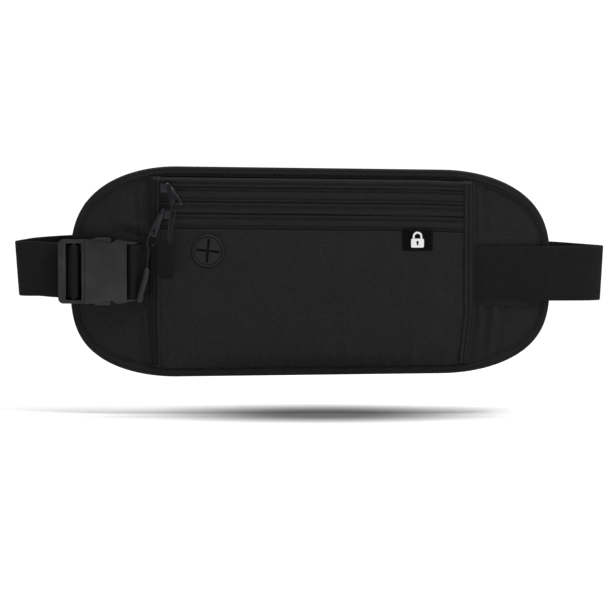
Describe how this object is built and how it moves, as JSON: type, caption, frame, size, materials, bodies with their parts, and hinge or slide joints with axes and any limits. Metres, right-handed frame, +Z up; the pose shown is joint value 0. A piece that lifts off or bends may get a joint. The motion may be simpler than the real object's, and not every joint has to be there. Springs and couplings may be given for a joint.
{
  "type": "money belt",
  "caption": "Slim waist pouch with zipped pockets, earphone port and webbing strap closed by a side-release buckle.",
  "frame": {"origin": "rear face of the strap's rear run, behind the pouch's centre", "axes": "+X along the belt to the viewer's right, +Y out of the back towards the wearer, +Z up"},
  "size_m": [0.3605, 0.0238, 0.1282],
  "materials": {
    "ripstop": "black nylon ripstop",
    "mesh_fabric": "black spacer mesh",
    "lining": "grey metallised film",
    "binding": "black woven tape",
    "zip_tape": "black knitted tape",
    "coil": "black nylon coil",
    "webbing": "black elastic webbing",
    "buckle_plastic": "fine-grained black acetal",
    "slider_metal": "black plated zinc",
    "cord": "black braided cord",
    "rubber": "black rubber",
    "label_weave": "black satin weave"
  },
  "bodies": {
    "pouch": {"back_panel": "mesh_fabric", "rfid_lining": "lining", "base_panel": "ripstop", "divider_panel": "ripstop", "front_panel": "ripstop", "upper_zip_top_tape": "zip_tape", "upper_zip_bottom_tape": "zip_tape", "lower_zip_top_tape": "zip_tape", "lower_zip_bottom_tape": "zip_tape", "upper_zip_coil_top": "coil", "upper_zip_coil_bottom": "coil", "lower_zip_coil_top": "coil", "lower_zip_coil_bottom": "coil", "edge_binding": "binding", "side_tape_left": "binding", "side_tape_right": "binding", "earphone_port": "rubber", "label": "label_weave", "strap_long": "webbing", "strap_short": "webbing"},
    "slider_upper": {"slider_upper": "slider_metal"},
    "pull_upper": {"pull_upper": "slider_metal"},
    "puller_upper": {"cord_upper": "cord", "tag_upper": "rubber"},
    "slider_lower": {"slider_lower": "slider_metal"},
    "pull_lower": {"pull_lower": "slider_metal"},
    "puller_lower": {"cord_lower": "cord", "tube_lower": "rubber"},
    "buckle_housing": {"buckle_housing": "buckle_plastic"},
    "buckle_insert": {"buckle_insert": "buckle_plastic", "strap_adjuster_loop": "webbing"},
    "prong_top": {"buckle_prong_top": "buckle_plastic"},
    "prong_bottom": {"buckle_prong_bottom": "buckle_plastic"}
  },
  "joints": [
    {"name": "upper_zip_slide", "type": "slide", "parent": "pouch", "child": "slider_upper", "axis": [1, 0, 0], "range_m": [0, 0.176]},
    {"name": "upper_pull_lift", "type": "hinge", "parent": "slider_upper", "child": "pull_upper", "pos_m": [-0.08825, -0.0186, 0.0536], "axis": [-1, 0, 0], "range_deg": [0, 150]},
    {"name": "upper_cord_swing", "type": "hinge", "parent": "pull_upper", "child": "puller_upper", "pos_m": [-0.0828, -0.0214, 0.0439], "axis": [0, -1, 0], "range_deg": [-12, 45]},
    {"name": "lower_zip_slide", "type": "slide", "parent": "pouch", "child": "slider_lower", "axis": [1, 0, 0], "range_m": [0, 0.176]},
    {"name": "lower_pull_lift", "type": "hinge", "parent": "slider_lower", "child": "pull_lower", "pos_m": [-0.08825, -0.0186, 0.0377], "axis": [-1, 0, 0], "range_deg": [0, 150]},
    {"name": "lower_cord_swing", "type": "hinge", "parent": "pull_lower", "child": "puller_lower", "pos_m": [-0.09575, -0.01905, 0.02465], "axis": [0, -1, 0], "range_deg": [0, 45]},
    {"name": "buckle_swing", "type": "hinge", "parent": "pouch", "child": "buckle_housing", "pos_m": [-0.1085, -0.0156, 0.0006], "axis": [0, 0, 1], "range_deg": [0, 25]},
    {"name": "buckle_release", "type": "slide", "parent": "buckle_housing", "child": "buckle_insert", "axis": [-1, 0, 0], "range_m": [0, 0.028], "deforming": ["buckle_prong_top", "buckle_prong_bottom"]},
    {"name": "prong_top_squeeze", "type": "hinge", "parent": "buckle_insert", "child": "prong_top", "pos_m": [-0.141, -0.0156, 0.0148], "axis": [0, 1, 0], "range_deg": [0, 8.5], "stiffness_Nm_per_rad": 1},
    {"name": "prong_bottom_squeeze", "type": "hinge", "parent": "buckle_insert", "child": "prong_bottom", "pos_m": [-0.141, -0.0156, -0.0136], "axis": [0, -1, 0], "range_deg": [0, 8.5], "stiffness_Nm_per_rad": 1}
  ]
}
